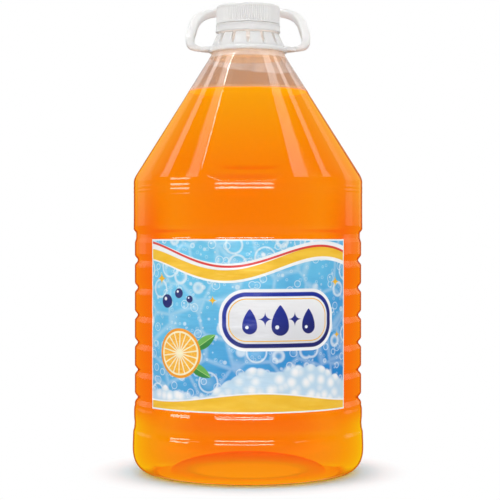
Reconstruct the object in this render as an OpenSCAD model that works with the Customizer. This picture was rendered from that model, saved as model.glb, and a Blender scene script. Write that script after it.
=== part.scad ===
// One-gallon clear bottle of liquid soap with a screw cap, its tamper band and a clip-on carrying handle.
// The label faces -Y, the handle loop leans back towards +Y and the foot stands on Z = 0.

/* [Bottle body] */
// Diameter of the plain band under the shoulder
band_d = 150; // [144:0.5:156]
// How far the widest ring near the foot stands out over the band
bulge_out = 0.6; // [0:0.1:2]
// How far the ribs behind the label lie in under the band
panel_in = 0.8; // [0:0.1:1.2]
// Thickness of the blown wall
wall = 0.8; // [0.6:0.05:1.2]
// Height of the plain band under the shoulder
band_h = 29.6; // [20:0.2:40]
// Height of the ribbed label panel
panel_h = 105.8; // [104:0.2:120]

/* [Foot] */
// Height of the widest ring above the table
bulge_z = 17.6; // [14:0.2:20]
// Outer radius of the flat ring that the bottle stands on
foot_r = 60; // [54:0.5:64]
// Width of that ring
foot_w = 6; // [4:0.5:10]
// Height of the push-up in the middle of the base
punt_h = 13; // [6:0.5:16]
// Roundness of the base corner, where 2 is an ellipse
corner_power = 2.6; // [2:0.1:4]

/* [Waist over the foot] */
// Height of the step where the foot ends
step_z = 27; // [25:0.2:28]
// Height of the narrowest part of the waist
waist_z = 32.6; // [31:0.2:34]
// How far the waist lies in under the band
waist_in = 0.7; // [0.5:0.05:1]
// How far the bead under the label panel lies in under the band
bead_in = 0.3; // [0:0.05:0.4]
// Height of the middle of the bead
bead_z = 39.2; // [39:0.1:40]
// Height of the flat on the bead
bead_h = 5; // [3:0.5:5]

/* [Ribs] */
// Number of grooves round the label panel
groove_count = 6; // [3:1:6]
// Height of the lowest groove over the start of the panel
groove_first = 5.2; // [4.5:0.1:8]
// Distance of the highest groove below the end of the panel
groove_last = 11.1; // [5:0.1:14]
// Width of a groove
groove_w = 7; // [5:0.2:8]
// Depth of a groove
groove_depth = 1.95; // [1:0.05:2.5]
// Height of the wide groove over the label panel
collar_groove_h = 9.2; // [8:0.2:12]
// How far the bottom of the wide groove lies in under the band
collar_groove_in = 1.7; // [1:0.1:4]

/* [Shoulder] */
// Angle of the shoulder cone from the upright
shoulder_angle = 32.15; // [30:0.05:34]
// Radius of the turn from the band into the cone
shoulder_round = 13; // [6:0.5:16]
// Angle that the wide front and back facets cover
wide_facet = 45; // [36:1:60]
// Number of narrow facets between the front and the back on each side
side_facets = 8; // [4:1:10]
// Round land left on each ridge, in degrees
ridge_land = 0.9; // [0.4:0.1:2]
// Distance of the facets' arched tops below the handle's ring
arch_drop = 3; // [1:0.2:8]
// Turn of the facets about the axis
facet_turn = -1.5; // [-5:0.5:5]

/* [Neck] */
// Radius of the bore
bore_r = 15.95; // [15:0.05:16.4]
// Wall of the neck over the end of the cone
neck_wall = 1.95; // [1.8:0.05:2.2]
// Wall of the threaded part of the neck
finish_wall = 1.65; // [1.4:0.05:1.7]
// Height of the neck above the end of the cone
finish_h = 19.3; // [18.8:0.1:20]
// How far the transfer ring stands out over the threaded part
transfer_out = 1.9; // [1.8:0.05:2.2]
// Thickness of the transfer ring
transfer_t = 1.6; // [1:0.1:1.8]
// Distance from the end of the cone to the transfer ring
transfer_gap = 3.7; // [3.4:0.1:4]
// How far the bead that keeps the tamper band down stands out over the threaded part
lock_out = 1.1; // [0.8:0.05:1.2]
// Thickness of that bead
lock_t = 1; // [0.6:0.1:1.2]

/* [Cap] */
// Room for the thread between the neck and the skirt
thread_room = 1.3; // [1.2:0.05:1.6]
// Wall of the skirt with its ribs
skirt_wall = 1.85; // [1.6:0.05:2.2]
// Number of gripping ribs
rib_count = 96; // [60:6:120]
// Depth of the gripping ribs
rib_depth = 0.4; // [0.2:0.05:0.5]
// Thickness of the cap's top
cap_top_t = 1.6; // [1.2:0.1:1.8]
// Radius of the turn at the top edge
cap_edge = 1.5; // [0.8:0.1:1.5]
// Thickness of the sealing disc
liner_t = 1.1; // [0.8:0.1:1.5]

/* [Tamper band] */
// Slack between the band and the transfer ring
band_slack = 0.4; // [0.3:0.05:0.6]
// Wall of the band at its top
band_wall = 1; // [0.8:0.05:1.2]
// How far the band's lower edge stands out over its top
band_flare = 0.35; // [0.1:0.05:0.6]
// Height of the band
tamper_h = 4.9; // [4.6:0.1:5.4]
// Gap that the first opening leaves under the skirt
tamper_gap = 0.4; // [0.2:0.1:0.6]
// Thickness of the ledge under the neck's bead
ledge_t = 0.7; // [0.5:0.05:0.9]

/* [Handle] */
// Thickness of the handle's ring plate
plate_t = 2.6; // [2.2:0.1:3.4]
// Height of the slots' floors over the ring plate
slot_lift = 1.2; // [1:0.1:2]
// Height of the ears' underside over the ring plate's underside
ear_lift = 0.8; // [0.2:0.1:1.2]
// Thickness of the ears that carry the loop
ear_t = 2.9; // [2.7:0.1:3.2]
// Radius of the shoulder cone where the plate's underside sits
seat_r = 23.2; // [22.8:0.1:24]
// How far the ring plate stands out over the shoulder
plate_out = 2.8; // [2:0.1:5]
// How far the foot of the crown stands out over the shoulder
crown_out = 1; // [0.8:0.1:1.4]
// How far the finger tips stand out over the transfer ring
tip_out = 0.9; // [0.7:0.1:1.3]
// Thickness of a crown finger
crown_t = 1.5; // [1.2:0.1:1.6]
// Number of slots between the fingers
slot_count = 14; // [10:1:16]
// Width of a slot
slot_w = 2.1; // [1.5:0.1:3]
// Slack between the hooks and the neck
hook_slack = 0.45; // [0.3:0.05:0.7]
// Thickness of the hooks
hook_t = 1; // [0.8:0.1:1.4]
// Thickness of the loop, square to its face
loop_t = 5.6; // [4:0.1:7]
// Width of the loop's face
loop_face = 5.9; // [5:0.1:6]
// Radius on the edges of the loop
loop_edge = 1.2; // [0.6:0.1:1.4]
// Distance from the axis to the middle of a leg of the loop
loop_side = 38.2; // [37:0.2:42]
// Distance from the axis back to the middle of the back strap
loop_reach = 67; // [60:0.5:70]
// Rise of the back strap over the ring plate
loop_rise = 35.3; // [30:0.1:40]

/* [Contents and label] */
// Height of the liquid above the table
level_z = 249; // [200:1:255]
// Angle round the bottle that the label covers
label_angle = 108; // [90:1:150]
// Height of the label's lower edge over the start of the panel
label_low = 1.9; // [0.2:0.1:6]
// Reach of the label's upper edge past the end of the panel
label_over = 2.5; // [0:0.1:2.8]
// Thickness of the label
label_t = 0.2; // [0.1:0.05:0.3]

/* [Hidden] */
$fn = 96;
// Slack between pieces that seat on each other, and a thinner one for stacked discs
seat_gap = 0.3;
disc_gap = 0.05;
liner_slack = 0.3;
lip_gap = 0.1;
film_gap = 0.05;
// How far the tips of the cap's ribs stay inside the rims, and their roots inside the skirt
rib_sink = 0.06;
// Steps in a rounded stretch of an outline
arc_steps = 8;
cut_over = 1;
// Cutters of the facets: their depth, and how far arch, sides and lower end reach past the facet
facet_depth = 10;
arch_over = 1.04;
side_over = 1.15;
end_over = 1.2;

band_r = band_d / 2;
bulge_r = band_r + bulge_out;
panel_r = band_r - panel_in;
waist_r = band_r - waist_in;
bead_r = band_r - bead_in;
collar_r = band_r - collar_groove_in;
step_drop = 0.35;
step_h = 1.4;
bead_slope_h = 2;
// Shares of the wide groove's height under and over its flat bottom
collar_low = 0.45;
collar_high = 0.3;
groove_pitch = (panel_h - groove_first - groove_last) / (groove_count - 1);
panel_z = bead_z + bead_h / 2 + bead_slope_h;
panel_top_z = panel_z + panel_h;
label_z = panel_z + label_low;
label_h = panel_top_z + label_over - label_z;
band_z = panel_top_z + collar_groove_h;
band_top_z = band_z + band_h;
neck_r = bore_r + neck_wall;
finish_r = bore_r + finish_wall;
transfer_r = finish_r + transfer_out;
lock_r = finish_r + lock_out;
cap_bore_r = finish_r + thread_room;
cap_r = cap_bore_r + skirt_wall;
liner_r = cap_bore_r - liner_slack;
tamper_bore_r = transfer_r + band_slack;
tamper_top_r = tamper_bore_r + band_wall;
tamper_low_r = tamper_top_r + band_flare;
plate_r = seat_r + plate_out;
crown_low_r = seat_r + crown_out;
crown_top_r = transfer_r + tip_out;
cone_slope = tan(shoulder_angle);
round_run = shoulder_round * tan(shoulder_angle / 2);
apex_z = band_top_z + round_run + band_r / cone_slope;
neck_z = apex_z - neck_r / cone_slope;
plate_z = apex_z - seat_r / cone_slope;
arch_z = plate_z - arch_drop;
transfer_z = neck_z + transfer_gap;
finish_z = neck_z + finish_h;
tamper_z = transfer_z + transfer_t / 2;
tamper_top_z = tamper_z + tamper_h;
skirt_z = tamper_top_z + tamper_gap;
liner_z = finish_z + lip_gap;
ceiling_z = liner_z + liner_t + disc_gap;
cap_top_z = ceiling_z + cap_top_t;
lock_z = tamper_top_z - lock_t - 0.2;
side_step = (180 - wide_facet) / side_facets;
crown_top_z = transfer_z - seat_gap;
plate_top_z = plate_z + plate_t;
slot_floor_z = plate_top_z + slot_lift;
ear_z = plate_z + ear_lift;
hook_r = neck_r + hook_slack;
crown_bore_r = crown_top_r - crown_t;
ring_bore_r = crown_low_r - crown_t;
ear_x = plate_r + 5;
ear_y = loop_t / 2 + 0.5;

// Loop of the handle from its root in the ring to the middle of the back strap: shares of the side,
// the reach, the rise and the face, and the lean of the face from level
LOOP = [
    [0.524, 0, 0, 0.44, 90],
    [0.707, 0, 0.002, 0.46, 90],
    [0.864, 0, 0.016, 0.6, 90],
    [0.974, 0.01, 0.079, 0.88, 80],
    [1, 0.07, 0.219, 1, 54],
    [0.979, 0.239, 0.396, 1, 32],
    [0.94, 0.478, 0.618, 1, 25],
    [0.843, 0.716, 0.804, 1, 22],
    [0.66, 0.896, 0.923, 1, 20],
    [0.353, 0.982, 0.98, 1, 20],
    [0, 1, 0.991, 1, 20]
];
LOOP_STEPS = 4;

// Raised cosine: 1 in the middle and 0 at both ends of u from -1 to 1
function swell(u) = 0.5 + 0.5 * cos(180 * u);

// Outline of the base, from its middle to the widest ring, inside the wall by t
function base_points(t) = concat(
    [for (i = [0:arc_steps]) let (u = i / arc_steps)
        [(foot_r - foot_w) * u, punt_h * (1 - u * u) + t]],
    [for (i = [0:2 * arc_steps]) let (
            u = 1 - pow(1 - i / (2 * arc_steps), 2),
            s = pow(1 - pow(1 - u, corner_power), 1 / corner_power))
        [foot_r + (bulge_r - t - foot_r) * s, t + (bulge_z - t) * u]]
);

// Outline over the foot: the step, the waist and the bead
function waist_points(t) = [
    [bulge_r - step_drop - t, step_z],
    [waist_r + step_drop - t, step_z + step_h],
    [waist_r - t, waist_z],
    [bead_r - t, bead_z - bead_h / 2],
    [bead_r - t, bead_z + bead_h / 2],
    [panel_r - t, panel_z]
];

// Outline of one groove whose middle is at height z
function groove_points(z, t) = [for (i = [0:arc_steps]) let (u = 2 * i / arc_steps - 1)
    [panel_r - t - groove_depth * swell(u), z + u * groove_w / 2]];

// Outline of the ribbed label panel and the wide groove over it
function panel_points(t) = concat(
    [for (n = [0:groove_count - 1]) each groove_points(panel_z + groove_first + n * groove_pitch, t)],
    [for (i = [0:arc_steps / 2]) let (u = i / arc_steps * 2)
        [collar_r - t + (panel_r - collar_r) * swell(u), panel_top_z + u * collar_groove_h * collar_low]],
    [for (i = [arc_steps / 2:-1:0]) let (u = i / arc_steps * 2)
        [collar_r - t + (band_r - collar_r) * swell(u), band_z - u * collar_groove_h * collar_high]]
);

// Outline of the turn from the band into the cone
function shoulder_points(t) = [for (i = [0:arc_steps]) let (a = shoulder_angle * i / arc_steps)
    [band_r - shoulder_round + (shoulder_round - t) * cos(a),
     band_top_z + (shoulder_round - t) * sin(a)]];

// Outside of the neck with its transfer ring and its locking bead
function finish_points() = [
    [neck_r, neck_z],
    [neck_r, transfer_z],
    [transfer_r, transfer_z + 0.2],
    [transfer_r, transfer_z + transfer_t - 0.3],
    [finish_r, transfer_z + transfer_t],
    [finish_r, lock_z],
    [lock_r, lock_z + 0.2],
    [finish_r, lock_z + lock_t],
    [finish_r, finish_z - 0.5],
    [finish_r - 0.5, finish_z],
    [0, finish_z]
];

// Inside of the neck: the bore from the cone to above the lip
function bore_points(t) = [
    [bore_r, apex_z - (bore_r + t / cos(shoulder_angle)) / cone_slope],
    [bore_r, finish_z + cut_over],
    [0, finish_z + cut_over]
];

// One facet of the shoulder: a cut along a plane through the tip of the cone, with an arched top
module facet_cut(azimuth, half_angle, tip_z) {
    lean = atan(cos(half_angle) * cone_slope);
    spread = tan(half_angle) * sin(lean);
    top_v = (tip_z - arch_z) / cos(lean);
    arch_v = top_v / (1 - spread);
    end_v = end_over * (tip_z - band_z) / cos(lean);
    translate([0, 0, tip_z])
    rotate([0, 0, azimuth])
    rotate([90 - lean, 0, 0])
    linear_extrude(facet_depth) {
        translate([0, -arch_v]) circle(r = arch_over * spread * arch_v);
        polygon([
            [-spread * arch_v, -arch_v], [spread * arch_v, -arch_v],
            [side_over * spread * end_v, -end_v], [-side_over * spread * end_v, -end_v]
        ]);
    }
}

// Body of revolution with the faceted shoulder, inside the wall by t
module blown_form(t) {
    tip_z = apex_z - t / sin(shoulder_angle);
    difference() {
        rotate_extrude() polygon(concat(
            base_points(t), waist_points(t), panel_points(t), shoulder_points(t),
            t == 0 ? finish_points() : bore_points(t)
        ));
        for (side = [0, 180]) rotate([0, 0, facet_turn + side]) {
            facet_cut(0, (wide_facet - ridge_land) / 2, tip_z);
            for (n = [0:side_facets - 1])
                facet_cut(wide_facet / 2 + (n + 0.5) * side_step, (side_step - ridge_land) / 2, tip_z);
        }
    }
}

// Blown PET bottle with a push-up base, ribs, a faceted shoulder and an open neck
module bottle() {
    color([0.93, 0.9, 0.85, 0.4])
    difference() {
        blown_form(0);
        blown_form(wall);
    }
}

// Liquid that fills the bottle to its level
module liquid_soap() {
    color([1, 0.5, 0.05])
    intersection() {
        blown_form(wall);
        cylinder(r = bulge_r + cut_over, h = level_z);
    }
}

// Printed film label, wrapped over the ribs of the front
module front_label() {
    color([0.45, 0.75, 0.92])
    rotate([0, 0, -90 - label_angle / 2])
    rotate_extrude(angle = label_angle)
    translate([panel_r + film_gap, label_z])
    square([label_t, label_h]);
}

// Ring that stays on the neck when the cap is unscrewed the first time
module tamper_band() {
    color([0.92, 0.92, 0.91])
    rotate_extrude() polygon([
        [tamper_bore_r, tamper_z],
        [tamper_low_r - 0.3, tamper_z],
        [tamper_low_r, tamper_z + 0.3],
        [tamper_low_r, tamper_z + 1],
        [tamper_top_r, tamper_top_z - 2],
        [tamper_top_r, tamper_top_z - 1.1],
        [tamper_top_r + 0.2, tamper_top_z - 0.8],
        [tamper_top_r + 0.2, tamper_top_z - 0.3],
        [tamper_top_r, tamper_top_z],
        [tamper_bore_r, tamper_top_z],
        [tamper_bore_r, lock_z - 0.2],
        [finish_r + seat_gap, lock_z - 0.2],
        [finish_r + seat_gap, lock_z - 0.2 - ledge_t / 2],
        [tamper_bore_r, lock_z - 0.2 - 2 * ledge_t]
    ]);
}

// Sealing disc between the lip of the neck and the cap
module cap_liner() {
    color([0.96, 0.95, 0.9])
    translate([0, 0, liner_z]) cylinder(r = liner_r, h = liner_t);
}

// Ribs of the skirt as a star of shallow teeth
function rib_star(tip_r, root_r) = [for (i = [0:2 * rib_count - 1]) let (a = 180 * i / rib_count)
    (i % 2 == 0 ? tip_r : root_r) * [cos(a), sin(a)]];

// Screw cap with a ribbed skirt
module cap() {
    r = cap_r;
    core_r = r - rib_depth;
    color([0.92, 0.92, 0.91])
    difference() {
        union() {
            rotate_extrude() polygon(concat(
                [[0, skirt_z], [r - 0.2, skirt_z], [r, skirt_z + 0.2], [r, skirt_z + 0.8],
                 [core_r, skirt_z + 1.1], [core_r, cap_top_z - cap_edge - 0.6]],
                [for (i = [0:arc_steps]) let (a = 90 * i / arc_steps)
                    [r - cap_edge + cap_edge * cos(a), cap_top_z - cap_edge + cap_edge * sin(a)]],
                [[0, cap_top_z]]
            ));
            translate([0, 0, skirt_z + 0.5])
            linear_extrude(cap_top_z - cap_edge + 0.2 - (skirt_z + 0.5))
            polygon(rib_star(r - rib_sink, core_r - rib_sink));
        }
        translate([0, 0, skirt_z - cut_over])
        cylinder(r = cap_bore_r, h = ceiling_z - skirt_z + cut_over);
    }
}

// Point of a smooth curve between b and c, with a and d as their neighbours
function between(a, b, c, d, u) = 0.5 * (2 * b + (c - a) * u
    + (2 * a - 5 * b + 4 * c - d) * u * u + (3 * b - a - 3 * c + d) * u * u * u);
function unit(v) = v / norm(v);
function mirrored(p) = [-p[0], p[1], p[2], p[3], p[4]];

// Both halves of the loop's route, and the smooth stations along it
loop_last = len(LOOP) - 1;
loop_half = [for (s = LOOP)
    [loop_side * s[0], loop_reach * s[1], loop_rise * s[2], loop_face * s[3], s[4]]];
loop_route = concat(loop_half, [for (i = [loop_last - 1:-1:0]) mirrored(loop_half[i])]);
loop_stations = [for (i = [1:len(loop_route) - 3], k = [0:LOOP_STEPS - (i < len(loop_route) - 3 ? 1 : 0)])
    between(loop_route[i - 1], loop_route[i], loop_route[i + 1], loop_route[i + 2], k / LOOP_STEPS)];

// Section of the loop: a rectangle w by h with round corners
function loop_section(w, h) = [for (q = [0:3], k = [0:2]) let (
        a = 90 * q + 45 * k,
        sx = (q == 0 || q == 3) ? 1 : -1,
        sy = q < 2 ? 1 : -1)
    [sx * (w / 2 - loop_edge) + loop_edge * cos(a), sy * (h / 2 - loop_edge) + loop_edge * sin(a)]];

// Loop of the handle: its section carried along the route, with its face kept at the lean given
module loop_strap() {
    count = len(loop_stations);
    rings = [for (i = [0:count - 1]) let (
            s = loop_stations[i],
            before = loop_stations[max(i - 1, 0)],
            after = loop_stations[min(i + 1, count - 1)],
            along = unit([after[0] - before[0], after[1] - before[1], after[2] - before[2]]),
            across = unit(cross([0, -sin(s[4]), cos(s[4])], along)),
            out = cross(along, across),
            middle = [s[0], s[1], ear_z + ear_t / 2 + s[2]])
        [for (p = loop_section(s[3], loop_t)) middle + p[0] * across + p[1] * out]];
    n = len(rings[0]);
    polyhedron(
        points = [for (ring = rings) each ring],
        faces = concat(
            [[for (k = [0:n - 1]) k]],
            [[for (k = [n - 1:-1:0]) (count - 1) * n + k]],
            [for (i = [0:count - 2], k = [0:n - 1])
                [i * n + (k + 1) % n, i * n + k, (i + 1) * n + k]],
            [for (i = [0:count - 2], k = [0:n - 1])
                [i * n + (k + 1) % n, (i + 1) * n + k, (i + 1) * n + (k + 1) % n]]
        )
    );
}

// Crown of fingers that springs over the transfer ring and hooks under it
module crown() {
    difference() {
        rotate_extrude() polygon([
            [ring_bore_r, plate_top_z - 0.6],
            [crown_low_r, plate_top_z - 0.6],
            [crown_low_r, slot_floor_z - 0.2],
            [crown_top_r, crown_top_z - 0.3],
            [crown_top_r - 0.3, crown_top_z],
            [hook_r + 0.5, crown_top_z],
            [hook_r, crown_top_z - 0.4],
            [crown_bore_r, crown_top_z - hook_t],
            [ring_bore_r, slot_floor_z - 0.2]
        ]);
        for (n = [0:slot_count - 1]) rotate([0, 0, -90 + 360 * n / slot_count])
            translate([hook_r - cut_over, 0, slot_floor_z + slot_w / 2]) {
                rotate([0, 90, 0]) cylinder(d = slot_w, h = plate_r - hook_r, $fn = 32);
                translate([0, -slot_w / 2, 0])
                cube([plate_r - hook_r, slot_w, crown_top_z - slot_floor_z]);
            }
    }
}

// Ring plate of the handle with the two tapered ears that carry the loop
module ring_plate() {
    root_x = 0.7 * plate_r;
    root_y = 0.54 * plate_r;
    low_r = seat_r + seat_gap / cos(shoulder_angle);
    cone_h = (low_r - ring_bore_r) / cone_slope;
    difference() {
        union() {
            translate([0, 0, plate_z]) cylinder(r = plate_r, h = plate_t);
            translate([0, 0, ear_z]) linear_extrude(ear_t) polygon([
                [ear_x, ear_y], [root_x, root_y], [-root_x, root_y], [-ear_x, ear_y],
                [-ear_x, -ear_y], [-root_x, -root_y], [root_x, -root_y], [ear_x, -ear_y]
            ]);
        }
        translate([0, 0, plate_z - cut_over])
        cylinder(r1 = low_r + cut_over * cone_slope, r2 = ring_bore_r, h = cone_h + cut_over);
        translate([0, 0, plate_z + cone_h - 0.01])
        cylinder(r = ring_bore_r, h = ear_lift + ear_t);
    }
}

// Carrying handle, moulded in one piece: slotted crown, ring plate and loop
module handle() {
    color([0.94, 0.94, 0.93])
    union() {
        ring_plate();
        crown();
        loop_strap();
    }
}

bottle();
liquid_soap();
front_label();
tamper_band();
cap_liner();
cap();
handle();
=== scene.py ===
"""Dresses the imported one-gallon soap bottle: shell, liquid, label, cap, liner, band, handle and stage.

Every piece is a surface worked out with numpy in the part's own frame: millimetres in the
functions, metres in the meshes, +Z up, the label towards -Y and the handle's loop towards +Y.
"""

import math

import bpy
import numpy as np
from bpy.props import FloatProperty, FloatVectorProperty, IntProperty, PointerProperty
from bpy.types import Operator, Panel, PropertyGroup
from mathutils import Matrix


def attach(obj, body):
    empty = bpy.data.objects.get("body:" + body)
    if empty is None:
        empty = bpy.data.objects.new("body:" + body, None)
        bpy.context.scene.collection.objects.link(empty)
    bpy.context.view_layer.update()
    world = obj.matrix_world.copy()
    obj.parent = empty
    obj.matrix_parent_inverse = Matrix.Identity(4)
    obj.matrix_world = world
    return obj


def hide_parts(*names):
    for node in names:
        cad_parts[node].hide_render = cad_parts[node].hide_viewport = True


bl_info = {
    "name": "Soap Bottle Dresser",
    "version": (1, 0, 0),
    "blender": (4, 5, 0),
    "location": "3D View > Sidebar > Bottle",
    "description": "Builds the looks of a one-gallon soap bottle round its packed frame",
    "category": "Object",
}

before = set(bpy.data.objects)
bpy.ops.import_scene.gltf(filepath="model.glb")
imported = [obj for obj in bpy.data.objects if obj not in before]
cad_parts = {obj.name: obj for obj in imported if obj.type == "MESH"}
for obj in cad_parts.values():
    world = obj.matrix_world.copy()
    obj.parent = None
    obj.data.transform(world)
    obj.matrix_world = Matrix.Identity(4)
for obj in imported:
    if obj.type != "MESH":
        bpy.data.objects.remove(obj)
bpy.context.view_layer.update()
MM = 0.001
TURN = 2 * math.pi

# Radii of the bottle, in millimetres, from the foot up
FOOT_INNER_R = 54.0
FOOT_OUTER_R = 60.0
BULGE_R = 75.6
WAIST_R = 74.3
BEAD_R = 74.7
PANEL_R = 74.2
COLLAR_R = 73.3
BAND_R = 75.0
NECK_R = 17.9
RING_R = 19.5
FINISH_R = 17.6
BORE_R = 15.95

# Its heights, from the foot up to the lip, and the tip and slope of the shoulder's cone
PUSH_UP = 13.0
BULGE_Z = 17.6
PANEL_Z = 43.7
PANEL_TOP = 149.5
BAND_Z = 158.7
BAND_TOP = 188.3
LEVEL_Z = 249.0
ARCH_Z = 271.46
NECK_Z = 282.9
BORE_Z = 284.6
RING_Z = 286.6
LIP_Z = 302.2
TIP_Z = 311.38
SLOPE = math.radians(32.15)
CONE = math.tan(SLOPE)

# Its curves: the foot's corner, the wall left under the foot, the shoulder's bend and the lip's edge
CORNER_POWER = 2.6
FOOT_WALL = 0.15
BEND_R = 13.0
LIP_EDGE = 0.55

# Grooves of the ribbed panel: how many, the first one's middle over the panel's foot, and their sizes
GROOVES = 6
GROOVE_FIRST = 5.2
GROOVE_PITCH = 17.9
GROOVE_DEPTH = 1.95
GROOVE_HALF = 3.5

# Facets of the shoulder, in degrees: two wide ones and eight narrow ones after each, turned a little
WIDE_PITCH = 45.0
WIDE_HALF = 22.05
NARROW_COUNT = 8
NARROW_PITCH = (180 - WIDE_PITCH) / NARROW_COUNT
NARROW_HALF = 7.99
FACET_TWIST = -1.5

# Thread of the neck and the cap
THREAD_PITCH = 4.23
THREAD_TURNS = 1.25
THREAD_HALF = 1.0
THREAD_FADE = 0.1
CAP_THREAD = 0.75

# Label, cap, liner and tamper band
LABEL_R = 74.35
LABEL_Z = 45.6
LABEL_H = 106.4
LABEL_ARC = 140.2
LABEL_HALF = 54.0
CAP_R = 20.75
CAP_BORE_R = 18.9
CAP_EDGE = 1.5
CAP_RIBS = 96
RIB_DEPTH = 0.42
SKIRT_Z = 292.7
CEILING_Z = 303.45
CAP_TOP = 305.05
LINER_R = 18.6
LINER_Z = 302.3
BAND_BORE_R = 19.9
BAND_LOW = 287.4
BAND_LID = 292.3
STUBS = 12

# Handle: its ring plate, ears, and crown with slots that end in half ellipses
PLATE_R = 26.0
CROWN_R = 24.2
CROWN_BORE_R = 22.7
SEAT_Z = 274.46
EAR_Z = 275.26
EAR_T = 2.9
PLATE_TOP = 277.06
SLOT_Z = 278.26
SLOT_END = 1.05
SLOT_SPREAD = 1.28
CROWN_TOP = 286.3

# Soft boxes as the gloss sees them: side angle from and to in degrees, z from and to, and brightness
BOXES = (
    (-32.4, -24.5, 0.35, 0.97, 1.7),
    (-49.6, -43.5, 0.35, 0.97, 1.7),
    (23.5, 31.0, 0.35, 0.97, 1.7),
    (40.0, 45.6, 0.35, 0.97, 1.7),
    (-22.0, -12.0, 0.888, 0.99, 17.0),
    (-16.0, 12.5, 0.16, 0.30, 13.0),
    (-41.0, -30.0, 0.10, 0.28, 8.0),
    (-72.0, -63.0, -0.12, 0.80, 0.3),
    (74.0, 81.0, -0.12, 0.80, 0.5),
    (57.0, 64.0, -0.12, 0.80, 0.35),
    (-80.0, -56.0, 0.10, 0.80, 0.3),
    (55.0, 80.0, 0.10, 0.80, 0.3),
)

# Lamps: name, place, aim and size in metres, power in watts
LAMPS = (
    ("key_left", (-1.15, -0.55, 1.25), (0, 0, 0.17), (0.5, 1.1), 6.8),
    ("fill_right", (1.2, -0.35, 1.15), (0, 0, 0.17), (0.5, 1.1), 5.6),
    ("top_soft", (0.0, 0.15, 1.6), (0, 0, 0.1), (1.3, 1.3), 7.0),
    ("front_soft", (0.15, -1.9, 0.75), (0, 0, 0.15), (0.9, 0.5), 6.6),
)

# Camera, in metres, and the frame of the photograph in pixels: width, focal length and shift
CAMERA_PLACE = (0, -1.0098, 0.1515)
FRAME_WIDTH = 500
FOCAL_LENGTH = 1536
FRAME_SHIFT = (2, -10)

# Colours used in more than one place
BLACK = (0.0, 0.0, 0.0)
WHITE = (1.0, 1.0, 1.0)
PAPER = (0.96, 0.97, 0.98)


# Numbers


def smooth(x, low, high):
    """3t^2 - 2t^3, with t the way from low to high, kept between 0 and 1; low may be the greater."""
    t = np.clip((np.asarray(x, float) - low) / (high - low), 0, 1)
    return t * t * (3 - 2 * t)


def swell(u):
    """Raised cosine: 1 at u = 0 and 0 at u = -1 and 1, and 0 beyond."""
    return np.where(np.abs(u) < 1, 0.5 + 0.5 * np.cos(np.pi * np.asarray(u)), 0)


def lesser(a, b, k):
    """Lesser of a and b with the corner rounded over about k: (a + b - sqrt((a - b)^2 + k^2)) / 2."""
    return 0.5 * (a + b - np.sqrt((a - b) ** 2 + k * k))


def spaced(points, step, closed=False):
    """A polyline sampled again at even steps of length, with its ends, or all the way round if closed."""
    points = np.asarray(points, float)
    if closed:
        points = np.vstack([points, points[:1]])
    run = np.concatenate([[0], np.cumsum(np.linalg.norm(np.diff(points, axis=0), axis=1))])
    count = max(2, int(math.ceil(run[-1] / step)) + 1)
    at = np.linspace(0, run[-1], count)
    even = np.stack([np.interp(at, run, points[:, i]) for i in range(points.shape[1])], axis=1)
    return even[:-1] if closed else even


def softened(points, times):
    """A polyline with rounded corners: each inner point moves halfway to the middle of its neighbours."""
    points = np.array(points, float)
    for _ in range(times):
        points[1:-1] = 0.5 * points[1:-1] + 0.25 * (points[:-2] + points[2:])
    return points


def section_outline(corners, radius, steps=4):
    """A closed outline with rounded corners: in by radius on both edges, then a quadratic curve between."""
    corners = np.asarray(corners, float)
    u = np.linspace(0, 1, steps + 1)[:, None]
    out = []
    for corner, before, after in zip(corners, np.roll(corners, 1, axis=0), np.roll(corners, -1, axis=0)):
        back, on = np.linalg.norm(before - corner), np.linalg.norm(after - corner)
        cut = min(radius, 0.45 * back, 0.45 * on)
        start = corner + (before - corner) / back * cut
        end = corner + (after - corner) / on * cut
        out.append((1 - u) ** 2 * start + 2 * u * (1 - u) * corner + u * u * end)
    return np.vstack(out)


def rounded_box(half_w, half_h, edge):
    """24 points round a rectangle whose corners are quarter circles of radius edge."""
    edge = min(edge, 0.98 * half_w, 0.98 * half_h)
    a = np.radians(np.arange(0, 360, 15) + 7.5)
    x = np.sign(np.cos(a)) * (half_w - edge) + edge * np.cos(a)
    y = np.sign(np.sin(a)) * (half_h - edge) + edge * np.sin(a)
    return np.stack([x, y], axis=1)


# Meshes


def ring_grid(radius, height, angle):
    """Points at (r cos a, r sin a, z) for arrays of radius, height and angle that broadcast together."""
    radius, height, angle = np.broadcast_arrays(radius, height, angle)
    return np.stack([radius * np.cos(angle), radius * np.sin(angle), height], axis=-1)


def full_turn(columns):
    """Even angles round a full turn."""
    return TURN * np.arange(columns) / columns


def turned(outline, angle):
    """A line of (radius, height) turned about Z, with a column at each angle."""
    return ring_grid(outline[:, :1], outline[:, 1:], angle)


def quads(rows, columns, wrap_columns, wrap_rows=False):
    """Corner numbers of every cell of a grid, (r, c) (r, c+1) (r+1, c+1) (r+1, c), wrapping where asked."""
    r = np.arange(rows if wrap_rows else rows - 1)[:, None]
    c = np.arange(columns if wrap_columns else columns - 1)[None, :]
    up, on = (r + 1) % rows, (c + 1) % columns
    corners = [r * columns + c, r * columns + on, up * columns + on, up * columns + c]
    return np.stack(corners, axis=-1).reshape(-1, 4)


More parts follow.
